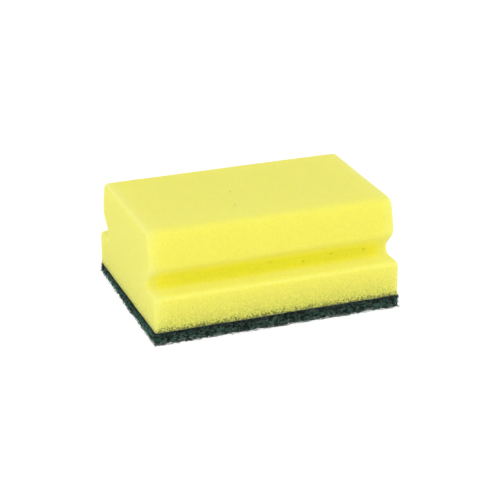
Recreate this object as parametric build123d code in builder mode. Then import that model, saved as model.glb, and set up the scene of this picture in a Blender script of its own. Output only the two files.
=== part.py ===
"""Hand-grip cleaning sponge: a block of yellow open-cell foam on a thin green scouring pad.

The foam block is cut from one piece. Its section is the same from end to end: a wide base, a finger groove
along each long side, and a rounded grip above the grooves that leans in towards a flat top. The scouring pad
is a slab of resin-bonded fibre web that covers the whole underside of the foam.

Frame: +X along the length, +Y across the width, +Z up. The origin is the middle of the pad's underside.
Sizes are in millimetres.
"""

import math
import os

from build123d import *

# Overall sizes
LENGTH = 95.0
WIDTH = 70.0
PAD_THICKNESS = 5.0
FOAM_HEIGHT = 36.0

# Finger groove along each long side of the foam
BASE_HEIGHT = 13.4  # foam below the groove's flat ledge
GROOVE_DEPTH = 11.0  # from the base's side to the neck between the grooves
NECK_HEIGHT = 2.8  # upright wall at the back of the groove
NECK_RADIUS = 1.2  # round corners at the back of the groove
UNDERCUT_ANGLE = 45.0  # slope of the groove's roof above the horizontal

# Rounded grip above the grooves
GRIP_INSET = 4.7  # from the base's side to the corner where the groove's roof meets the grip's side
GRIP_RADIUS = 4.0  # round of that corner
TOP_INSET = 7.6  # from the base's side to the grip's top corner, before it is rounded
SIDE_BULGE = 0.55  # how far the grip's side stands proud of a straight line
TOP_RADIUS = 3.0  # long edges of the top

# Small rounds
LEDGE_RADIUS = 0.8  # outer edge of the groove's ledge
FOAM_END_RADIUS = 0.6  # cut edges of the foam's end faces
PAD_CORNER_RADIUS = 1.2  # upright corners of the pad
PAD_EDGE_RADIUS = 0.7  # lower edge of the pad

# Heights above the pad's underside, and distances from the middle plane
FOAM_BOTTOM = PAD_THICKNESS
LEDGE = FOAM_BOTTOM + BASE_HEIGHT
NECK_TOP = LEDGE + NECK_HEIGHT
FOAM_TOP = FOAM_BOTTOM + FOAM_HEIGHT
BASE_SIDE = WIDTH / 2
NECK_SIDE = BASE_SIDE - GROOVE_DEPTH
GRIP_SIDE = BASE_SIDE - GRIP_INSET
TOP_SIDE = BASE_SIDE - TOP_INSET
GRIP_BOTTOM = NECK_TOP + (GRIP_SIDE - NECK_SIDE) * math.tan(math.radians(UNDERCUT_ANGLE))

# Corners of one side of the foam's section, as (across, up)
BASE_CORNER = (BASE_SIDE, FOAM_BOTTOM)
LEDGE_CORNER = (BASE_SIDE, LEDGE)
NECK_FOOT = (NECK_SIDE, LEDGE)
NECK_HEAD = (NECK_SIDE, NECK_TOP)
GRIP_CORNER = (GRIP_SIDE, GRIP_BOTTOM)
TOP_CORNER = (TOP_SIDE, FOAM_TOP)


def corner_of(sketch, point):
    """The sketch's vertex at an (across, up) point."""
    return sketch.vertices().sort_by_distance(Vector(*point, 0))[0]


# Half of the foam's section, from the middle plane outwards
with BuildSketch() as half_section:
    with BuildLine():
        Polyline((0, FOAM_BOTTOM), BASE_CORNER, LEDGE_CORNER, NECK_FOOT, NECK_HEAD, GRIP_CORNER)
        SagittaArc(GRIP_CORNER, TOP_CORNER, -SIDE_BULGE)
        Polyline(TOP_CORNER, (0, FOAM_TOP), (0, FOAM_BOTTOM))
    make_face()
    fillet(corner_of(half_section, LEDGE_CORNER), LEDGE_RADIUS)
    fillet([corner_of(half_section, NECK_FOOT), corner_of(half_section, NECK_HEAD)], NECK_RADIUS)
    fillet(corner_of(half_section, GRIP_CORNER), GRIP_RADIUS)
    fillet(corner_of(half_section, TOP_CORNER), TOP_RADIUS)

# The foam block: both halves of the section, extruded to the full length
with BuildPart() as foam_block:
    with BuildSketch(Plane.YZ):
        add(half_section.sketch)
        mirror(about=Plane.YZ)
    extrude(amount=LENGTH / 2, both=True)
    end_edges = foam_block.faces().filter_by(Axis.X).edges()
    underside_edges = foam_block.faces().sort_by(Axis.Z)[0].edges()
    fillet(end_edges - underside_edges, FOAM_END_RADIUS)
foam_block.part.label = "foam_block"

# The scouring pad under the foam, with the same outline
with BuildPart() as scouring_pad:
    with BuildSketch():
        RectangleRounded(LENGTH, WIDTH, PAD_CORNER_RADIUS)
    extrude(amount=PAD_THICKNESS)
    fillet(scouring_pad.faces().sort_by(Axis.Z)[0].edges(), PAD_EDGE_RADIUS)
scouring_pad.part.label = "scouring_pad"

os.makedirs("parts", exist_ok=True)
export_step(foam_block.part, "parts/foam_block.step")
export_step(scouring_pad.part, "parts/scouring_pad.step")
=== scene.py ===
"""Looks of a hand-grip cleaning sponge: a block of cut yellow foam bonded to a dark-green scouring web.

The foam and the web take their shapes from the CAD nodes. The foam gets soft cut edges, fine cells and a few
larger pores. The web gets a ragged, matted surface with loose fibres laid over its sides and underside.
Everything is in metres: +X along the length, +Y across the width, +Z up, with the floor at zero.
"""

import math

import bmesh
import bpy
from mathutils import Matrix, Vector


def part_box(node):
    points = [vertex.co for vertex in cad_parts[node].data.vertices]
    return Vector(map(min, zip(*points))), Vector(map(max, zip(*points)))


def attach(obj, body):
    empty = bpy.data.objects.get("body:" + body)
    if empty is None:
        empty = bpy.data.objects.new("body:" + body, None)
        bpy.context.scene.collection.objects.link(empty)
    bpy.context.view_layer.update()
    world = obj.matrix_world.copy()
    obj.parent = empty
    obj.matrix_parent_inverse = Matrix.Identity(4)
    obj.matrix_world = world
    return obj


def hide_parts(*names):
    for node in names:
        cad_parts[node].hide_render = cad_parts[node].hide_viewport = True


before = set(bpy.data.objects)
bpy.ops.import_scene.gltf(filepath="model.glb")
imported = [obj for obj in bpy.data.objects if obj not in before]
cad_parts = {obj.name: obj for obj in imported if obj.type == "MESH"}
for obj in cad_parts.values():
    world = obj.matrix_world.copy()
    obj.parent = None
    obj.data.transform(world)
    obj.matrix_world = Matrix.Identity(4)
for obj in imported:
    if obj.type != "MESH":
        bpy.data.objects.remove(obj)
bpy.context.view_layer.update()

MM = 0.001
FOAM_LOW, FOAM_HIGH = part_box("foam_block")
PAD_LOW, PAD_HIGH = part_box("scouring_pad")
MIDDLE = (PAD_LOW + FOAM_HIGH) / 2
MERGE_DISTANCE = 0.001 * MM
FLATNESS = 0.2 * MM  # how far a point of a hidden flat side may lie from it

# Foam surface
FOAM_GRID = 0.46 * MM  # spacing of the foam's surface points
EDGE_ROUNDING = 11  # smoothing passes on the cut edges
SHARP_HEIGHT = 0.3 * MM  # up to this far above the bond the foam keeps its sharp edge
SOFT_HEIGHT = 2.0 * MM  # from this far above the bond it is fully softened
UNEVENNESS = 0.35 * MM  # wander of the cut faces
UNEVENNESS_SCALE = 55.0  # waves of that wander in a metre
GRAIN = 0.10 * MM  # roughness of the cut cells
GRAIN_SCALE = 900.0  # grains in a metre
PORE_SPACING = 9.0 * MM
PORE_RADIUS = 0.6 * MM
PORE_FLOOR = 0.35  # share of a pore's radius that is cut to its full depth
LARGE_PORES = (  # bubbles that the cut has opened, where they meet the surface
    (-6.1, 0.8, 41.0),
    (-8.9, -12.5, 41.0),
    (0.5, -24.0, 21.4),
    (13.3, -24.0, 19.4),
    (24.6, -24.0, 21.0),
    (37.7, -24.0, 20.6),
    (-47.5, 25.0, 23.9),
)
LARGE_PORE_RADIUS = 0.65 * MM

# The pale rim of painted sheen on the foam's convex edges
RIM_REACH = 22  # smoothing passes that find the rim
RIM_START = 0.05 * MM  # depth that those passes take off where the rim starts
RIM_FULL = 0.6 * MM  # depth that they take off where the rim is palest
RIM_END_REACH = 3.0 * MM  # distance from an end over which the rim is stronger

# Foam colour zones
FINE_CELL = 0.55 * MM
COARSE_CELL = 1.1 * MM
FOAM_PATCH_SIZE = 14 * MM
SPECKLE_SIZE = 0.6 * MM
LEDGE_HEIGHT = 18.4 * MM  # the groove's flat floor
LEDGE_CORE = 0.5 * MM  # height either side of the ledge that gets the full painted light
LEDGE_REACH = 2.0 * MM  # height either side of the ledge at which the painted light ends
END_GLOW_REACH = 8.0 * MM  # how far painted light from the pale cut ends shines through along the foam
END_FACE_START = 1.0 * MM  # distance from an end at which the cut face's own colour starts
END_FACE_FULL = 0.3 * MM  # distance from an end at which it is full
GROOVE_START = 5 * MM  # distance in from the widest side at which the groove's painted bounce light starts
GROOVE_FULL = 11 * MM  # distance in at which it is full
GRIP_START = 8 * MM  # distance below the top at which the groove's painted bounce light starts
GRIP_FULL = 17 * MM  # distance below the top at which it is full
GROOVE_MIDDLE = 40 * MM  # distance from an end beyond which the groove's painted bounce light is full
GROOVE_END = 6 * MM  # distance from an end within which it is slightly weaker
CROWN_START = 8 * MM  # distance below the top at which painted sheen starts to make the foam paler
CROWN_FULL = 1 * MM  # distance below the top at which that painted sheen is palest
BASE_FULL = 2 * MM  # distance below the ledge from which the base is paler
BASE_END = 1 * MM  # distance above the ledge at which that ends
SHADE_AND_DUST_FADE = 5.0 * MM  # height over which the painted shade of the cells and the green dust from the web fade
BOND_FRAY = 2.2 * MM  # how far the web's fibres reach up into the foam's lowest cells

# Foam colours
FOAM_YELLOW = (0.91, 0.86, 0.148)
PATCH_YELLOW = (0.89, 0.83, 0.12)
PALE_YELLOW = (0.89, 0.855, 0.21)
LIT_LEDGE_YELLOW = (0.99, 0.94, 0.19)
GROOVE_BOUNCE_YELLOW = (0.99, 0.905, 0.055)
END_GLOW_YELLOW = (0.88, 0.85, 0.21)
END_YELLOW = (0.88, 0.84, 0.145)
HOLLOW_SHADE_YELLOW = (0.60, 0.57, 0.085)
RIM_SHEEN_YELLOW = (0.86, 0.84, 0.30)
PORE_SHADE_BROWN = (0.35, 0.30, 0.02)
DUST_GREEN = (0.12, 0.24, 0.07)
FRAY_GREEN = (0.025, 0.055, 0.030)
SHEEN_YELLOW = (1.0, 0.98, 0.75)

# Scouring web
WEB_GRID = 0.45 * MM
CLUMP_HEIGHT = 0.9 * MM
CLUMP_SIZE = 3.0 * MM
STRAND_HEIGHT = 1.5 * MM
STRAND_SIZE = 1.1 * MM
STRAND_TWIST = 1.5
THIN_CORNER = (PAD_LOW.x, PAD_HIGH.y)  # the corner where the web is worn thin
THIN_CORNER_REACH = 45 * MM
THIN_CORNER_LOSS = 0.3  # share of the thickness lost at that corner
RAGGED_HEIGHT = 0.9 * MM  # how far the hollows of the ragged underside rise
RAGGED_SIZE = 3.0 * MM
FLOOR_GAP = 0.05 * MM  # from the floor to the web's lowest surface
FIBRE_REACH = 0.35 * MM  # how far loose fibres stand out from the web's outline
FIBRE_FLOOR_GAP = 0.12 * MM  # from the floor to the middle of the lowest fibre
FIBRE_RISE = 0.3 * MM  # how far fibres reach up past the bond
FIBRE_CURL_SIZE = 2.5 * MM
FIBRE_DRIFT = 9  # how far the place that a fibre takes its curls from is moved, so that no two curl alike
FIBRE_POINTS = 8
FIBRE_SIDES = 3

# Web colour zones
CLUMP_LIGHT_AND_SHADE_SIZE = 1.2 * MM  # size of the clumps of fibre painted light and dark, as lit and shaded clumps
WEB_CELL = 0.7 * MM  # size of the gaps in the web's body, darkened with painted shade
GRIT_SIZE = 0.15 * MM  # size of the grains of resin on the fibres
BAND_WANDER = 1.4 * MM  # how far the edges of the band of painted shade and of the worn band with painted light wander up and down
BAND_WANDER_SIZE = 2.4 * MM
WORN_AND_LIT_HEIGHT = 1.8 * MM  # below this, more of the fibres have lost their resin, and painted light from the white floor shows through
WORN_AND_LIT_FULL = 0.3 * MM  # below this, the wear and the painted light are at their strongest
SHADED_START = 2.2 * MM  # distance below the bond at which the web starts to darken
SHADED_FULL = 0.6 * MM  # distance below the bond at which it is darkest
CUT_END_START = 1.6 * MM  # distance from an end at which the teal of the cut starts
CUT_END_FULL = 0.4 * MM  # distance from an end at which it is full

# Web colours, with those of the tint given from its darkest fibre to its lightest
WEB_BLACK = (0.006, 0.016, 0.012)
FIBRE_GREEN = (0.020, 0.075, 0.052)
RUBBED_AND_LIT_GREEN = (0.20, 0.29, 0.24)
COATED_RANGE = ((0.003, 0.008, 0.007), (0.070, 0.165, 0.125))
CUT_RANGE = ((0.004, 0.026, 0.018), (0.065, 0.270, 0.190))
WORN_AND_LIT_RANGE = ((0.02, 0.03, 0.025), (0.34, 0.43, 0.37))
SHADED_RANGE = ((0.002, 0.004, 0.003), (0.022, 0.046, 0.036))

# Camera
CAMERA_AZIMUTH = math.radians(-20.27)
CAMERA_ELEVATION = math.radians(22.77)
CAMERA_ROLL = math.radians(-0.31)
CAMERA_DISTANCE = 673.8 * MM
CAMERA_LENS = 128.07
SENSOR_WIDTH = 36.0
AIM_RIGHT = 1.43 * MM
AIM_UP = -3.58 * MM
NEAREST_SEEN = 0.01

# Light and floor
FILL_LOW = 1.23  # strength of the white walls, level with the object
FILL_HIGH = 0.57  # strength of the white ceiling
LAMPS = {  # each lamp's azimuth and elevation in degrees, its size in metres and its watts
    "key_lamp": (15, 45, 0.7, 1.5),
    "left_lamp": (-75, 25, 0.6, 0.8),
}
LAMP_DISTANCE = 1.0
FLOOR_REACH = 3.0
FLOOR_PALE = (0.92, 0.92, 0.92)
FLOOR_GLOW = 1.12
FLOOR_GLOW_SHARE = 0.8  # share of glow in what the camera sees of the floor, which leaves some shadow
WHITE = (1, 1, 1)

GEOMETRY = "NodeSocketGeometry"
FLOAT = "NodeSocketFloat"
INTEGER = "NodeSocketInt"
VECTOR = "NodeSocketVector"
COLOUR = "NodeSocketColor"
OBJECT = "NodeSocketObject"
MATERIAL = "NodeSocketMaterial"


# ---------------------------------------------------------------------------------------------- node helpers


def new_group(name, kind, inputs, outputs):
    """A node group with named sockets, each given as (name, socket type)."""
    group = bpy.data.node_groups.new(name, kind)
    for in_out, sockets in (("INPUT", inputs), ("OUTPUT", outputs)):
        for socket_name, socket_type in sockets:
            group.interface.new_socket(socket_name, in_out=in_out, socket_type=socket_type)
    return group


def open_sockets(sockets):
    return [socket for socket in sockets if socket.enabled]


def add(tree, kind, inputs=None, **settings):
    """Adds a node. An input given as a node or a socket is joined, and any other value is set."""
    node = tree.nodes.new(kind)
    for key, value in settings.items():
        setattr(node, key, value)
    for key, value in (inputs or {}).items():
        sockets = open_sockets(node.inputs)
        socket = sockets[key] if isinstance(key, int) else next(s for s in sockets if s.name == key)
        if isinstance(value, bpy.types.Node):
            value = open_sockets(value.outputs)[0]
        if isinstance(value, bpy.types.NodeSocket):
            tree.links.new(value, socket)
        else:
            socket.default_value = value
    return node


def calc(tree, operation, *values):
    return add(tree, "ShaderNodeMath", dict(enumerate(values)), operation=operation)


def vector_calc(tree, operation, *values):
    return add(tree, "ShaderNodeVectorMath", dict(enumerate(values)), operation=operation)


def scaled(tree, vector, factor):
    return add(tree, "ShaderNodeVectorMath", {"Vector": vector, "Scale": factor}, operation="SCALE")


def split(tree, vector):
    """The X, Y and Z sockets of a vector."""
    return add(tree, "ShaderNodeSeparateXYZ", {0: vector}).outputs


def per_metre(tree, size):
    """The texture scale that gives features of that size."""
    return calc(tree, "DIVIDE", 1.0, size)


def ranged(tree, value, low, high, to_low, to_high):
    """A smooth step from one value to another as value goes from low to high."""
    inputs = {"Value": value, "From Min": low, "From Max": high, "To Min": to_low, "To Max": to_high}
    return add(tree, "ShaderNodeMapRange", inputs, interpolation_type="SMOOTHSTEP")


def opaque(colour):
    """A colour with full alpha. A node's colour is passed on as it is."""
    return (*colour, 1) if isinstance(colour, tuple) else colour


def mixed(tree, factor, colour_a, colour_b):
    inputs = {"Factor": factor, "A": opaque(colour_a), "B": opaque(colour_b)}
    return add(tree, "ShaderNodeMix", inputs, data_type="RGBA")


def tinted(tree, colour, mask, strength, tint):
    """A colour with a tint laid over it, as strong as that where the mask is 1."""
    return mixed(tree, calc(tree, "MULTIPLY", mask, strength), colour, tint)


def seeded_noise(tree, place, seed, scale, detail, distortion=0.0):
    inputs = {"Vector": place, "W": seed, "Scale": scale, "Detail": detail, "Distortion": distortion}
    return add(tree, "ShaderNodeTexNoise", inputs, noise_dimensions="4D")


def random_value(tree, low, high, seed):
    inputs = {"Min": low, "Max": high, "Seed": seed}
    return add(tree, "FunctionNodeRandomValue", inputs, data_type="FLOAT")


def random_vector(tree, reach, seed):
    inputs = {"Min": (-reach,) * 3, "Max": (reach,) * 3, "Seed": seed}
    return add(tree, "FunctionNodeRandomValue", inputs, data_type="FLOAT_VECTOR")


def smoothed_place(tree, place, passes, weight):
    inputs = {"Value": place, "Iterations": passes, "Weight": weight}
    return add(tree, "GeometryNodeBlurAttribute", inputs, data_type="FLOAT_VECTOR")


def stored(tree, geometry, name, value):
    """Keeps a value at each point, for the material to read."""
    inputs = {"Geometry": geometry, "Name": name, "Value": value}
    return add(tree, "GeometryNodeStoreNamedAttribute", inputs, data_type="FLOAT", domain="POINT")


def end_tree(tree, shape, material):
    """Ends a geometry tree: smooth shading, instances made real and the material set."""
    shape = add(tree, "GeometryNodeSetShadeSmooth", {0: shape, "Shade Smooth": True})
    shape = add(tree, "GeometryNodeRealizeInstances", {0: shape})
    shape = add(tree, "GeometryNodeSetMaterial", {"Geometry": shape, "Material": material})
    add(tree, "NodeGroupOutput", {0: shape})


def set_inputs(modifier, values):
    """Sets a Geometry Nodes modifier's inputs by their names."""
    for item in modifier.node_group.interface.items_tree:
        if item.in_out == "INPUT" and item.name in values:
            modifier[item.identifier] = values[item.name]


# --------------------------------------------------------------------------------------------- mesh helpers


def link(name, data):
    piece = bpy.data.objects.new(name, data)
    bpy.context.scene.collection.objects.link(piece)
    return piece


def merged_copy(node):
    """A copy of a CAD node's mesh with its loose triangles joined."""
    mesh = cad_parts[node].data.copy()
    mesh.materials.clear()
    form = bmesh.new()
    form.from_mesh(mesh)
    bmesh.ops.remove_doubles(form, verts=form.verts, dist=MERGE_DISTANCE)
    form.to_mesh(mesh)
    form.free()
    return mesh


def grown(name, mesh, tree, values, grid=None):
    """A plain mesh piece made from a mesh by a Geometry Nodes tree, remeshed first if a grid is given."""
    piece = link(name, mesh)
    if grid:
        remesh = piece.modifiers.new("grid", "REMESH")
        remesh.mode = "VOXEL"
        remesh.voxel_size = grid
    nodes = piece.modifiers.new(tree.name, "NODES")
    nodes.node_group = tree
    set_inputs(nodes, values)
    depsgraph = bpy.context.evaluated_depsgraph_get()
    result = bpy.data.meshes.new_from_object(piece.evaluated_get(depsgraph), depsgraph=depsgraph)
    piece.modifiers.clear()
    piece.data = result
    result.name = name
    return piece


def flatten_hidden_face(piece, facing, level):
    """Joins the small faces of a hidden flat side into one."""
    form = bmesh.new()
    form.from_mesh(piece.data)
    hidden = [
        face
        for face in form.faces
        if face.normal.z * facing > 0.95 and all(abs(v.co.z - level) < FLATNESS for v in face.verts)
    ]
    bmesh.ops.dissolve_faces(form, faces=hidden, use_verts=False)
    form.to_mesh(piece.data)
    form.free()


# ------------------------------------------------------------------------------------------- geometry trees


def pit_depth(tree, distance, radius):
    """How deep a pore of that radius is cut, at a distance from its middle."""
    share = ranged(tree, distance, calc(tree, "MULTIPLY", radius, PORE_FLOOR), radius, 1.0, 0.0)
    return calc(tree, "MULTIPLY", share, radius)


def cut_foam_tree():
    """Soft cut edges, uneven faces and opened pores on a block of foam."""
    inputs = [
        ("Block", GEOMETRY),
        ("Edge Rounding", INTEGER),
        ("Rim Reach", INTEGER),
        ("Unevenness", FLOAT),
        ("Grain", FLOAT),
        ("Pore Spacing", FLOAT),
        ("Pore Radius", FLOAT),
        ("Large Pores", OBJECT),
        ("Large Pore Radius", FLOAT),
        ("Bonded Height", FLOAT),
        ("End", FLOAT),
        ("Seed", FLOAT),
        ("Material", MATERIAL),
    ]
    tree = new_group("cut_foam", "GeometryNodeTree", inputs, [("Foam", GEOMETRY)])
    given = add(tree, "NodeGroupInput").outputs
    place = add(tree, "GeometryNodeInputPosition")
    normal = add(tree, "GeometryNodeInputNormal")

    # The bonded underside keeps its sharp edge
    parts = split(tree, place)
    above_bond = calc(tree, "SUBTRACT", parts["Z"], given["Bonded Height"])
    free = ranged(tree, above_bond, SHARP_HEIGHT, SOFT_HEIGHT, 0.0, 1.0)
    soft = smoothed_place(tree, place, given["Edge Rounding"], free)

    # A wider smoothing takes most off along the convex edges, where the pale rim of painted sheen is
    wide = smoothed_place(tree, place, given["Rim Reach"], free)
    cut_off = vector_calc(tree, "DOT_PRODUCT", vector_calc(tree, "SUBTRACT", place, wide), normal)
    rim = ranged(tree, cut_off.outputs["Value"], RIM_START, RIM_FULL, 0.0, 1.0)
    from_middle = calc(tree, "ABSOLUTE", parts["X"])
    end_zone = calc(tree, "SUBTRACT", given["End"], RIM_END_REACH)
    near_end = ranged(tree, from_middle, given["End"], end_zone, 1.0, 0.5)
    rim = calc(tree, "MULTIPLY", rim, near_end)

    # Pores: small ones at random and the larger ones where they are marked
    seed = given["Seed"]
    bubbles = add(
        tree,
        "ShaderNodeTexVoronoi",
        {"Vector": place, "W": seed, "Scale": per_metre(tree, given["Pore Spacing"])},
        voronoi_dimensions="4D",
    )
    bubble_distance = calc(tree, "MULTIPLY", bubbles, given["Pore Spacing"])
    marks = add(tree, "GeometryNodeObjectInfo", {"Object": given["Large Pores"]}).outputs["Geometry"]
    nearest = add(tree, "GeometryNodeProximity", {"Geometry": marks}, target_element="POINTS")
    small_pits = pit_depth(tree, bubble_distance, given["Pore Radius"])
    large_pits = pit_depth(tree, nearest.outputs["Distance"], given["Large Pore Radius"])
    pits = calc(tree, "MULTIPLY", calc(tree, "MAXIMUM", small_pits, large_pits), free)

    wander = seeded_noise(tree, place, seed, UNEVENNESS_SCALE, 2.0)
    grain = seeded_noise(tree, place, seed, GRAIN_SCALE, 1.0)
    relief = calc(tree, "MULTIPLY", calc(tree, "SUBTRACT", wander, 0.5), given["Unevenness"])
    relief = calc(tree, "MULTIPLY_ADD", calc(tree, "SUBTRACT", grain, 0.5), given["Grain"], relief)
    relief = calc(tree, "SUBTRACT", relief, pits)

    block = stored(tree, given["Block"], "rim", rim)
    block = stored(tree, block, "pore", calc(tree, "DIVIDE", pits, given["Large Pore Radius"]))
    offset = scaled(tree, normal, relief)
    block = add(tree, "GeometryNodeSetPosition", {"Geometry": block, "Position": soft, "Offset": offset})
    end_tree(tree, block, given["Material"])
    return tree


def matted_web_tree():
    """A slab of matted fibre web: clumped, stranded sides and underside, and one thin corner."""
    inputs = [
        ("Slab", GEOMETRY),
        ("Clump Height", FLOAT),
        ("Clump Size", FLOAT),
        ("Strand Height", FLOAT),
        ("Strand Size", FLOAT),
        ("Thickness", FLOAT),
        ("Thin Corner", VECTOR),
        ("Thin Corner Reach", FLOAT),
        ("Thin Corner Loss", FLOAT),
        ("Ragged Height", FLOAT),
        ("Ragged Size", FLOAT),
        ("Seed", FLOAT),
        ("Material", MATERIAL),
    ]
    tree = new_group("matted_web", "GeometryNodeTree", inputs, [("Web", GEOMETRY)])
    given = add(tree, "NodeGroupInput").outputs
    seed = given["Seed"]
    place = add(tree, "GeometryNodeInputPosition")
    normal = add(tree, "GeometryNodeInputNormal")

    # The top is bonded to the foam and stays flat
    bare = ranged(tree, split(tree, normal)["Z"], 0.2, 0.8, 1.0, 0.0)
    clumps = seeded_noise(tree, place, seed, per_metre(tree, given["Clump Size"]), 2.0)
    strands = seeded_noise(tree, place, seed, per_metre(tree, given["Strand Size"]), 1.0, STRAND_TWIST)
    relief = calc(tree, "MULTIPLY", calc(tree, "SUBTRACT", clumps, 0.5), given["Clump Height"])
    relief = calc(tree, "MULTIPLY_ADD", calc(tree, "SUBTRACT", strands, 0.5), given["Strand Height"], relief)
    relief = calc(tree, "MULTIPLY", relief, bare)
    offset = scaled(tree, normal, relief)
    moved = add(tree, "GeometryNodeSetPosition", {"Geometry": given["Slab"], "Offset": offset})

    # The thin corner and the ragged hollows rise from the floor, measured from the bonded top
    parts = split(tree, place)
    flat_place = add(tree, "ShaderNodeCombineXYZ", {"X": parts["X"], "Y": parts["Y"]})
    away = vector_calc(tree, "DISTANCE", flat_place, given["Thin Corner"]).outputs["Value"]
    loss = ranged(tree, away, 0.0, given["Thin Corner Reach"], given["Thin Corner Loss"], 0.0)
    ragged = seeded_noise(tree, flat_place, seed, per_metre(tree, given["Ragged Size"]), 2.0)
    rise = ranged(tree, ragged, 0.4, 0.7, 0.0, given["Ragged Height"])
    loss = calc(tree, "ADD", loss, calc(tree, "DIVIDE", rise, given["Thickness"]))
    below_top = calc(tree, "SUBTRACT", given["Thickness"], parts["Z"])
    lifted = calc(tree, "MULTIPLY_ADD", below_top, loss, parts["Z"])
    lifted = calc(tree, "MAXIMUM", lifted, FLOOR_GAP)
    lifted = calc(tree, "MINIMUM", lifted, given["Thickness"])
    lifted_place = add(tree, "ShaderNodeCombineXYZ", {"X": parts["X"], "Y": parts["Y"], "Z": lifted})
    moved = add(tree, "GeometryNodeSetPosition", {"Geometry": moved, "Position": lifted_place})
    end_tree(tree, moved, given["Material"])
    return tree


def laid_fibres_tree():
    """Curly fibres laid over the faces of a web that face between two slopes."""
    inputs = [
        ("Web", GEOMETRY),
        ("Lowest Facing", FLOAT),
        ("Highest Facing", FLOAT),
        ("Density", FLOAT),
        ("Length", FLOAT),
        ("Thickness", FLOAT),
        ("Levelness", FLOAT),
        ("Stand Out", FLOAT),
        ("Curl", FLOAT),
        ("Curl Size", FLOAT),
        ("Lowest Corner", VECTOR),
        ("Highest Corner", VECTOR),
        ("Seed", INTEGER),
        ("Material", MATERIAL),
    ]
    tree = new_group("laid_fibres", "GeometryNodeTree", inputs, [("Fibres", GEOMETRY)])
    given = add(tree, "NodeGroupInput").outputs
    seed = given["Seed"]
    facing = split(tree, add(tree, "GeometryNodeInputNormal"))["Z"]
    above = add(tree, "FunctionNodeCompare", {0: facing, 1: given["Lowest Facing"]}, operation="GREATER_THAN")
    below = add(tree, "FunctionNodeCompare", {0: facing, 1: given["Highest Facing"]}, operation="LESS_THAN")
    chosen = add(tree, "FunctionNodeBooleanMath", {0: above, 1: below}, operation="AND")
    spots = add(
        tree,
        "GeometryNodeDistributePointsOnFaces",
        {"Mesh": given["Web"], "Selection": chosen, "Density": given["Density"], "Seed": seed},
    )
    outward = spots.outputs["Normal"]
    drift = random_vector(tree, FIBRE_DRIFT, seed)
    tone = random_value(tree, 0.0, 1.0, calc(tree, "ADD", seed, 1))
    kept = tree.nodes.new("GeometryNodeCaptureAttribute")
    kept.capture_items.new("VECTOR", "Outward")
    kept.capture_items.new("VECTOR", "Drift")
    kept.capture_items.new("FLOAT", "Tone")
    for value, socket_name in ((spots, "Geometry"), (outward, "Outward"), (drift, "Drift"), (tone, "Tone")):
        source = value if isinstance(value, bpy.types.NodeSocket) else open_sockets(value.outputs)[0]
        tree.links.new(source, kept.inputs[socket_name])

    # Each fibre starts as a straight line along the surface
    any_way = random_vector(tree, 1, calc(tree, "ADD", seed, 2))
    along = vector_calc(tree, "CROSS_PRODUCT", outward, any_way)
    steepness = calc(tree, "SUBTRACT", 1.0, given["Levelness"])
    level = add(tree, "ShaderNodeCombineXYZ", {"X": 1.0, "Y": 1.0, "Z": steepness})
    along = vector_calc(tree, "NORMALIZE", vector_calc(tree, "MULTIPLY", along, level))
    lift = random_value(tree, -0.3, 1.0, calc(tree, "ADD", seed, 3))
    lift = calc(tree, "MULTIPLY", lift, given["Stand Out"])
    along = vector_calc(tree, "ADD", along, scaled(tree, outward, lift))
    turn = add(tree, "FunctionNodeAlignRotationToVector", {"Vector": along}, axis="X")
    stretch = random_value(tree, 0.5, 1.4, calc(tree, "ADD", seed, 4))
    length = calc(tree, "MULTIPLY", stretch, given["Length"])
    line = add(tree, "GeometryNodeCurvePrimitiveLine", {"Start": (-0.5, 0, 0), "End": (0.5, 0, 0)})
    line = add(tree, "GeometryNodeResampleCurve", {"Curve": line, "Count": FIBRE_POINTS})
    size = add(tree, "ShaderNodeCombineXYZ", {"X": length, "Y": 1.0, "Z": 1.0})
    lines = add(
        tree,
        "GeometryNodeInstanceOnPoints",
        {"Points": kept.outputs["Geometry"], "Instance": line, "Rotation": turn, "Scale": size},
    )
    lines = add(tree, "GeometryNodeRealizeInstances", {0: lines})

    # Curls, with little of them towards or away from the web
    place = add(tree, "GeometryNodeInputPosition")
    wave_place = vector_calc(tree, "ADD", place, kept.outputs["Drift"])
    wave = add(
        tree,
        "ShaderNodeTexNoise",
        {"Vector": wave_place, "Scale": per_metre(tree, given["Curl Size"]), "Detail": 1.0},
    ).outputs["Color"]
    bend = scaled(tree, vector_calc(tree, "SUBTRACT", wave, (0.5, 0.5, 0.5)), given["Curl"])
    outward_share = vector_calc(tree, "DOT_PRODUCT", bend, kept.outputs["Outward"]).outputs["Value"]
    held_back = scaled(tree, kept.outputs["Outward"], calc(tree, "MULTIPLY", outward_share, 0.7))
    bend = vector_calc(tree, "SUBTRACT", bend, held_back)
    lines = add(tree, "GeometryNodeSetPosition", {"Geometry": lines, "Offset": bend})
    held = vector_calc(tree, "MAXIMUM", place, given["Lowest Corner"])
    held = vector_calc(tree, "MINIMUM", held, given["Highest Corner"])
    lines = add(tree, "GeometryNodeSetPosition", {"Geometry": lines, "Position": held})
    lines = stored(tree, lines, "tone", kept.outputs["Tone"])

    # A pale fibre is also a thick one
    girth = calc(tree, "MULTIPLY_ADD", kept.outputs["Tone"], 0.3, 0.35)
    radius = calc(tree, "MULTIPLY", girth, given["Thickness"])
    ring_inputs = {"Resolution": FIBRE_SIDES, "Radius": 1.0}
    ring = add(tree, "GeometryNodeCurvePrimitiveCircle", ring_inputs, mode="RADIUS")
    tubes = add(
        tree,
        "GeometryNodeCurveToMesh",
        {"Curve": lines, "Profile Curve": ring, "Scale": radius, "Fill Caps": True},
    )
    end_tree(tree, tubes, given["Material"])
    return tree


# ---------------------------------------------------------------------------------------------- shader groups


def placed(tree, group, vector, value):
    """A shader group placed in a material, with its vector and its one other input."""
    return add(tree, "ShaderNodeGroup", {0: vector, 1: value}, node_tree=group)


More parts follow.
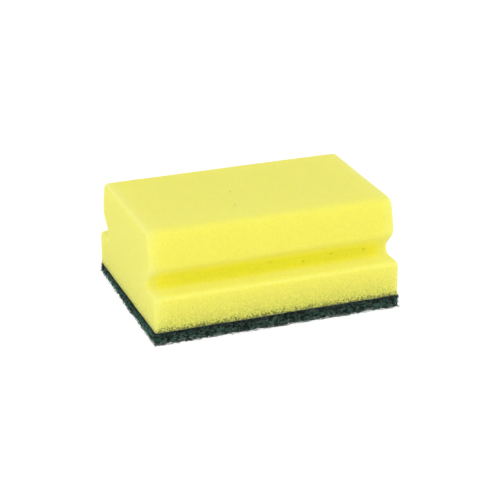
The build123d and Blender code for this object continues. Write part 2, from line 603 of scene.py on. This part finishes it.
def open_cells_group():
    """Open cells of one size: a mask that is 1 in the hollow of each cell, and a height for bump."""
    inputs = [("Vector", VECTOR), ("Cell Size", FLOAT)]
    group = new_group("open_cells", "ShaderNodeTree", inputs, [("Hollow", FLOAT), ("Height", FLOAT)])
    given = add(group, "NodeGroupInput").outputs
    frequency = per_metre(group, given["Cell Size"])
    warp = add(group, "ShaderNodeTexNoise", {"Vector": given["Vector"], "Scale": frequency}).outputs["Color"]
    shift = scaled(group, warp, calc(group, "MULTIPLY", given["Cell Size"], 0.5))
    place = vector_calc(group, "ADD", given["Vector"], shift)
    cells = add(group, "ShaderNodeTexVoronoi", {"Vector": place, "Scale": frequency})
    hollow = ranged(group, cells, 0.15, 0.6, 1.0, 0.0)
    height = calc(group, "SUBTRACT", 1.0, hollow)
    add(group, "NodeGroupOutput", {"Hollow": hollow, "Height": height})
    return group


def patches_group():
    """Soft patches of one size, from 0 to 1."""
    inputs = [("Vector", VECTOR), ("Patch Size", FLOAT)]
    group = new_group("patches", "ShaderNodeTree", inputs, [("Patch", FLOAT)])
    given = add(group, "NodeGroupInput").outputs
    frequency = per_metre(group, given["Patch Size"])
    noise = add(group, "ShaderNodeTexNoise", {"Vector": given["Vector"], "Scale": frequency, "Detail": 3.0})
    add(group, "NodeGroupOutput", {"Patch": ranged(group, noise, 0.3, 0.7, 0.0, 1.0)})
    return group


def web_tint_group(patches):
    """The web's colour: nearly black with painted shade under the foam, teal on the cut ends and greyer
    towards the floor, where fibres have lost their resin and painted light from the white floor shows
    through.
    """
    inputs = [("Vector", VECTOR), ("Lightness", FLOAT)]
    group = new_group("web_tint", "ShaderNodeTree", inputs, [("Color", COLOUR)])
    given = add(group, "NodeGroupInput").outputs
    parts = split(group, given["Vector"])
    cut_end = calc(group, "ABSOLUTE", parts["X"])
    cut_end = ranged(group, cut_end, PAD_HIGH.x - CUT_END_START, PAD_HIGH.x - CUT_END_FULL, 0.0, 0.8)
    wander = calc(group, "SUBTRACT", placed(group, patches, given["Vector"], BAND_WANDER_SIZE), 0.5)
    height = calc(group, "MULTIPLY_ADD", wander, BAND_WANDER, parts["Z"])
    shaded = ranged(group, height, PAD_HIGH.z - SHADED_START, PAD_HIGH.z - SHADED_FULL, 0.0, 0.85)
    # Paler towards the floor: worn fibres, and painted light from the white floor showing through
    worn_and_lit = ranged(group, height, WORN_AND_LIT_FULL, WORN_AND_LIT_HEIGHT, 0.85, 0.0)
    colour = mixed(group, given["Lightness"], *COATED_RANGE)
    for mask, tint_range in ((cut_end, CUT_RANGE), (worn_and_lit, WORN_AND_LIT_RANGE), (shaded, SHADED_RANGE)):
        colour = mixed(group, mask, colour, mixed(group, given["Lightness"], *tint_range))
    add(group, "NodeGroupOutput", {"Color": colour})
    return group


OPEN_CELLS = open_cells_group()
PATCHES = patches_group()
WEB_TINT = web_tint_group(PATCHES)


# ------------------------------------------------------------------------------------------------- materials


def new_material(name, colour):
    material = bpy.data.materials.new(name)
    material.use_nodes = True
    material.diffuse_color = opaque(colour)
    tree = material.node_tree
    tree.nodes.clear()
    shader = add(tree, "ShaderNodeBsdfPrincipled")
    add(tree, "ShaderNodeOutputMaterial", {"Surface": shader})
    return material, tree, shader


def attribute(tree, name):
    return add(tree, "ShaderNodeAttribute", attribute_name=name).outputs["Fac"]


def dress(tree, shader, colour, bump, settings):
    """Joins a colour and a bump to a shader and sets its other inputs."""
    tree.links.new(open_sockets(colour.outputs)[0], shader.inputs["Base Color"])
    tree.links.new(bump.outputs["Normal"], shader.inputs["Normal"])
    for name, value in settings.items():
        shader.inputs[name].default_value = value


def foam_zones(tree, parts):
    """Masks of the foam's colour zones, by name."""
    height = parts["Z"]
    across = calc(tree, "ABSOLUTE", parts["X"])
    side = calc(tree, "ABSOLUTE", parts["Y"])
    # Painted light near the ends, as of light shining through from the cut ends
    end = ranged(tree, across, FOAM_HIGH.x - END_GLOW_REACH, FOAM_HIGH.x, 0.0, 1.0)
    end = calc(tree, "POWER", end, 1.6)
    end_face = ranged(tree, across, FOAM_HIGH.x - END_FACE_START, FOAM_HIGH.x - END_FACE_FULL, 0.0, 1.0)
    # Painted bounce light and shade in the groove: a deeper, more saturated yellow
    in_groove = ranged(tree, side, FOAM_HIGH.y - GROOVE_FULL, FOAM_HIGH.y - GROOVE_START, 1.0, 0.0)
    below_grip = ranged(tree, height, FOAM_HIGH.z - GRIP_FULL, FOAM_HIGH.z - GRIP_START, 1.0, 0.0)
    groove = calc(tree, "MULTIPLY", in_groove, below_grip)
    groove = calc(tree, "MULTIPLY", groove, calc(tree, "SUBTRACT", 1.0, end))
    inward = ranged(tree, across, FOAM_HIGH.x - GROOVE_MIDDLE, FOAM_HIGH.x - GROOVE_END, 1.0, 0.85)
    groove = calc(tree, "MULTIPLY", groove, inward)
    # Painted light on the ledge, which is lit from above
    from_ledge = calc(tree, "ABSOLUTE", calc(tree, "SUBTRACT", height, LEDGE_HEIGHT))
    ledge = ranged(tree, from_ledge, LEDGE_CORE, LEDGE_REACH, 0.6, 0.0)
    ledge = calc(tree, "MULTIPLY", ledge, calc(tree, "SUBTRACT", 1.0, end_face))
    # Painted sheen paling the top
    crown = ranged(tree, height, FOAM_HIGH.z - CROWN_START, FOAM_HIGH.z - CROWN_FULL, 0.0, 0.03)
    base = ranged(tree, height, LEDGE_HEIGHT - BASE_FULL, LEDGE_HEIGHT + BASE_END, 0.25, 0.0)
    # Nearness to the web, for the painted shade in the cells and for the green dust
    near_web = calc(tree, "DIVIDE", calc(tree, "SUBTRACT", PAD_HIGH.z, height), SHADE_AND_DUST_FADE)
    near_web = calc(tree, "EXPONENT", near_web)
    return {
        "end": end,
        "end_face": end_face,
        "groove": groove,
        "ledge": ledge,
        "pale": calc(tree, "ADD", crown, base),
        "near_web": near_web,
    }


def foam_material():
    """Matt lemon-yellow foam: fine open cells, pale cut rims of painted sheen, painted light on the ledge and
    the ends, painted bounce light in the groove, dark pores of painted shade and a band above the web dulled
    by painted shade and green dust.
    """
    material, tree, shader = new_material("cut_yellow_foam", FOAM_YELLOW)
    place = add(tree, "ShaderNodeTexCoord").outputs["Object"]
    parts = split(tree, place)
    zones = foam_zones(tree, parts)
    fine = placed(tree, OPEN_CELLS, place, FINE_CELL).outputs
    coarse = placed(tree, OPEN_CELLS, place, COARSE_CELL).outputs
    patch = placed(tree, PATCHES, place, FOAM_PATCH_SIZE)
    speckle = placed(tree, PATCHES, place, SPECKLE_SIZE)

    colour = tinted(tree, FOAM_YELLOW, patch, 0.25, PATCH_YELLOW)
    # Painted sheen paling the top, and a paler base
    colour = mixed(tree, zones["pale"], colour, PALE_YELLOW)
    # Painted light on the ledge
    colour = mixed(tree, zones["ledge"], colour, LIT_LEDGE_YELLOW)
    # Painted bounce light and shade in the groove
    colour = mixed(tree, zones["groove"], colour, GROOVE_BOUNCE_YELLOW)
    # Painted light near the ends
    colour = tinted(tree, colour, zones["end"], 0.9, END_GLOW_YELLOW)
    colour = tinted(tree, colour, zones["end_face"], 0.8, END_YELLOW)

    # Painted shade in the cells' hollows, stronger towards the web, and green dust lying there
    hollow = calc(tree, "MULTIPLY_ADD", coarse["Hollow"], 0.6, calc(tree, "MULTIPLY", fine["Hollow"], 0.4))
    hollow_shade = calc(tree, "MULTIPLY_ADD", zones["near_web"], 0.5, 0.12)
    colour = mixed(tree, calc(tree, "MULTIPLY", hollow, hollow_shade), colour, HOLLOW_SHADE_YELLOW)
    dust = calc(tree, "MULTIPLY", zones["near_web"], calc(tree, "MULTIPLY_ADD", speckle, 0.52, 0.03))
    dust = calc(tree, "MULTIPLY", dust, calc(tree, "MULTIPLY_ADD", zones["end"], -0.5, 1.0))
    colour = mixed(tree, dust, colour, DUST_GREEN)

    # Dots of the web's fibres, rarer higher up and fainter on the cut ends
    rise = calc(tree, "DIVIDE", calc(tree, "SUBTRACT", parts["Z"], PAD_HIGH.z), BOND_FRAY)
    rarity = calc(tree, "MULTIPLY_ADD", rise, 0.85, 0.12)
    frayed = ranged(tree, calc(tree, "SUBTRACT", speckle, rarity), -0.05, 0.08, 0.0, 1.0)
    frayed = calc(tree, "MULTIPLY", frayed, calc(tree, "MULTIPLY_ADD", zones["end_face"], -0.27, 0.58))
    colour = mixed(tree, frayed, colour, FRAY_GREEN)

    # Painted sheen: the pale rim along the convex edges
    colour = tinted(tree, colour, attribute(tree, "rim"), 0.45, RIM_SHEEN_YELLOW)
    # Painted shade in the pores
    colour = tinted(tree, colour, attribute(tree, "pore"), 0.35, PORE_SHADE_BROWN)
    relief = calc(tree, "MULTIPLY_ADD", coarse["Height"], 0.6, calc(tree, "MULTIPLY", fine["Height"], 0.4))
    bump = add(tree, "ShaderNodeBump", {"Strength": 0.5, "Distance": 0.15 * MM, "Height": relief})
    settings = {
        "Roughness": 0.95,
        "Specular IOR Level": 0.1,
        "Subsurface Weight": 1.0,
        "Subsurface Radius": (1.0, 0.9, 0.4),
        "Subsurface Scale": 6 * MM,
        "Sheen Weight": 0.04,
        "Sheen Roughness": 0.5,
        "Sheen Tint": opaque(SHEEN_YELLOW),
    }
    dress(tree, shader, colour, bump, settings)
    return material


def clump_light_and_shade(tree, place):
    """How light a clump of fibre is, from 0 to 1, painting the clumps as lit and shaded."""
    return ranged(tree, placed(tree, PATCHES, place, CLUMP_LIGHT_AND_SHADE_SIZE), 0.2, 0.8, 0.0, 1.0)


def web_material():
    """The matted body of the web: nearly black green, lighter on its strands, with painted shade in its gaps.
    """
    material, tree, shader = new_material("scouring_web_body", WEB_BLACK)
    place = add(tree, "ShaderNodeTexCoord").outputs["Object"]
    cells = placed(tree, OPEN_CELLS, place, WEB_CELL).outputs
    # Painted light and shade on the clumps of fibre
    colour = placed(tree, WEB_TINT, place, calc(tree, "MULTIPLY", clump_light_and_shade(tree, place), 0.6))
    # Painted shade in the web's gaps
    colour = mixed(tree, cells["Hollow"], colour, WEB_BLACK)
    bump = add(tree, "ShaderNodeBump", {"Strength": 0.8, "Distance": 0.3 * MM, "Height": cells["Height"]})
    dress(tree, shader, colour, bump, {"Roughness": 0.85, "Specular IOR Level": 0.25})
    return material


def fibre_material():
    """Resin-coated fibres: dark green, with a few pale ones where the resin has come off, more of them
    towards the floor, where the paleness is also painted light from the white floor.
    """
    material, tree, shader = new_material("scouring_fibres", FIBRE_GREEN)
    place = add(tree, "ShaderNodeTexCoord").outputs["Object"]
    tone = attribute(tree, "tone")
    # Lightness from the painted light and shade of the clumps and from each fibre's own tone
    lightness = calc(tree, "MULTIPLY_ADD", clump_light_and_shade(tree, place), 0.5, calc(tree, "MULTIPLY", tone, 0.5))
    colour = placed(tree, WEB_TINT, place, ranged(tree, lightness, 0.28, 0.78, 0.0, 1.0))
    # Paler fibres towards the floor: wear, and painted light from the white floor
    worn_and_lit = ranged(tree, split(tree, place)["Z"], WORN_AND_LIT_FULL, WORN_AND_LIT_HEIGHT, 0.35, 0.0)
    rubbed_and_lit = ranged(tree, calc(tree, "ADD", tone, worn_and_lit), 0.90, 1.0, 0.0, 1.0)
    colour = tinted(tree, colour, rubbed_and_lit, 0.7, RUBBED_AND_LIT_GREEN)
    grit = placed(tree, OPEN_CELLS, place, GRIT_SIZE).outputs["Height"]
    bump = add(tree, "ShaderNodeBump", {"Strength": 0.5, "Distance": 0.03 * MM, "Height": grit})
    dress(tree, shader, colour, bump, {"Roughness": 0.5, "Specular IOR Level": 0.35})
    return material


# ---------------------------------------------------------------------------------------------------- pieces


def make_foam():
    marks = bpy.data.meshes.new("large_pores")
    marks.from_pydata([Vector(point) * MM for point in LARGE_PORES], [], [])
    large_pores = link("large_pores", marks)
    foam = grown(
        "yellow_foam_grip",
        merged_copy("foam_block"),
        cut_foam_tree(),
        {
            "Edge Rounding": EDGE_ROUNDING,
            "Rim Reach": RIM_REACH,
            "Unevenness": UNEVENNESS,
            "Grain": GRAIN,
            "Pore Spacing": PORE_SPACING,
            "Pore Radius": PORE_RADIUS,
            "Large Pores": large_pores,
            "Large Pore Radius": LARGE_PORE_RADIUS,
            "Bonded Height": FOAM_LOW.z,
            "End": FOAM_HIGH.x,
            "Seed": 3.0,
            "Material": foam_material(),
        },
        grid=FOAM_GRID,
    )
    bpy.data.objects.remove(large_pores)
    flatten_hidden_face(foam, -1, FOAM_LOW.z)
    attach(foam, "root")
    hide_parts("foam_block")


def make_web():
    web = grown(
        "scouring_web",
        merged_copy("scouring_pad"),
        matted_web_tree(),
        {
            "Clump Height": CLUMP_HEIGHT,
            "Clump Size": CLUMP_SIZE,
            "Strand Height": STRAND_HEIGHT,
            "Strand Size": STRAND_SIZE,
            "Thickness": PAD_HIGH.z,
            "Thin Corner": (*THIN_CORNER, 0.0),
            "Thin Corner Reach": THIN_CORNER_REACH,
            "Thin Corner Loss": THIN_CORNER_LOSS,
            "Ragged Height": RAGGED_HEIGHT,
            "Ragged Size": RAGGED_SIZE,
            "Seed": 5.0,
            "Material": web_material(),
        },
        grid=WEB_GRID,
    )
    flatten_hidden_face(web, 1, PAD_HIGH.z)
    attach(web, "root")
    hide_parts("scouring_pad")
    return web


def make_fibres(web):
    """Three lots of fibres: matted over the sides, matted under the web, and short loose ends at its edge."""
    tree = laid_fibres_tree()
    common = {
        "Curl Size": FIBRE_CURL_SIZE,
        "Lowest Corner": PAD_LOW + Vector((-FIBRE_REACH, -FIBRE_REACH, FIBRE_FLOOR_GAP)),
        "Highest Corner": PAD_HIGH + Vector((FIBRE_REACH, FIBRE_REACH, FIBRE_RISE)),
        "Material": fibre_material(),
    }
    lots = {
        "side_fibres": {
            "Lowest Facing": -0.7, "Highest Facing": 0.6, "Density": 2.1e6, "Length": 3 * MM,
            "Thickness": 0.16 * MM, "Levelness": 0.4, "Stand Out": 0.12, "Curl": 2.2 * MM, "Seed": 11,
        },
        "underside_fibres": {
            "Lowest Facing": -1.1, "Highest Facing": -0.5, "Density": 5.2e5, "Length": 9 * MM,
            "Thickness": 0.18 * MM, "Levelness": 1.0, "Stand Out": 0.0, "Curl": 5 * MM, "Seed": 23,
        },
        "loose_edge_fibres": {
            "Lowest Facing": -0.8, "Highest Facing": 0.5, "Density": 1.5e6, "Length": 1.5 * MM,
            "Thickness": 0.12 * MM, "Levelness": 0.2, "Stand Out": 0.9, "Curl": 2 * MM, "Seed": 37,
        },
    }
    for name, values in lots.items():
        fibres = grown(name, web.data.copy(), tree, {**common, **values})
        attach(fibres, "root")


# ----------------------------------------------------------------------------------------------------- stage


def make_floor():
    """A white floor that the camera sees as plain white, apart from the object's shadow."""
    floor_mesh = bpy.data.meshes.new("floor")
    reach = FLOOR_REACH
    corners = [(-reach, -reach, 0), (reach, -reach, 0), (reach, reach, 0), (-reach, reach, 0)]
    floor_mesh.from_pydata(corners, [], [(0, 1, 2, 3)])
    floor = link("floor", floor_mesh)
    material = bpy.data.materials.new("white_floor")
    material.use_nodes = True
    tree = material.node_tree
    tree.nodes.clear()
    surface = add(tree, "ShaderNodeBsdfDiffuse", {"Color": opaque(FLOOR_PALE)})
    glow = add(tree, "ShaderNodeEmission", {"Color": opaque(WHITE), "Strength": FLOOR_GLOW})
    seen = add(tree, "ShaderNodeLightPath").outputs["Is Camera Ray"]
    share = calc(tree, "MULTIPLY", seen, FLOOR_GLOW_SHARE)
    both = add(tree, "ShaderNodeMixShader", {0: share, 1: surface, 2: glow})
    add(tree, "ShaderNodeOutputMaterial", {"Surface": both})
    floor_mesh.materials.append(material)


def make_world():
    """A white studio, plain white where it is seen or mirrored and graded from wall to ceiling as a light."""
    world = bpy.data.worlds.new("studio")
    bpy.context.scene.world = world
    world.use_nodes = True
    tree = world.node_tree
    tree.nodes.clear()
    path = add(tree, "ShaderNodeLightPath").outputs
    seen = calc(tree, "MAXIMUM", path["Is Camera Ray"], path["Is Glossy Ray"])
    seen = calc(tree, "MAXIMUM", seen, path["Is Transmission Ray"])
    up = split(tree, add(tree, "ShaderNodeTexCoord").outputs["Generated"])["Z"]
    fill = add(tree, "ShaderNodeMapRange", {"Value": up, "To Min": FILL_LOW, "To Max": FILL_HIGH})
    strength = add(tree, "ShaderNodeMapRange", {"Value": seen, "To Min": fill, "To Max": 1.0})
    background = add(tree, "ShaderNodeBackground", {"Color": opaque(WHITE), "Strength": strength})
    add(tree, "ShaderNodeOutputWorld", {"Surface": background})


def direction(azimuth, elevation):
    """From the object towards an azimuth and elevation. Azimuth 0 is the front."""
    level = math.cos(elevation)
    return Vector((math.sin(azimuth) * level, -math.cos(azimuth) * level, math.sin(elevation)))


def make_lamp(name, azimuth, elevation, size, watts):
    data = bpy.data.lights.new(name, "AREA")
    data.shape = "DISK"
    data.size = size
    data.energy = watts
    lamp = link(name, data)
    towards = direction(math.radians(azimuth), math.radians(elevation))
    lamp.location = MIDDLE + towards * LAMP_DISTANCE
    lamp.rotation_euler = towards.to_track_quat("Z", "Y").to_euler()


def make_camera():
    back = direction(CAMERA_AZIMUTH, CAMERA_ELEVATION)
    turn = back.to_track_quat("Z", "Y").to_matrix() @ Matrix.Rotation(CAMERA_ROLL, 3, "Z")
    data = bpy.data.cameras.new("camera")
    data.lens = CAMERA_LENS
    data.sensor_width = SENSOR_WIDTH
    data.clip_start = NEAREST_SEEN
    camera = link("camera", data)
    aim = MIDDLE + turn @ Vector((AIM_RIGHT, AIM_UP, 0))
    camera.matrix_world = Matrix.Translation(aim + back * CAMERA_DISTANCE) @ turn.to_4x4()
    bpy.context.scene.camera = camera


make_foam()
make_fibres(make_web())
make_floor()
make_world()
for lamp_name, lamp_values in LAMPS.items():
    make_lamp(lamp_name, *lamp_values)
make_camera()
bpy.context.scene.view_settings.view_transform = "Standard"
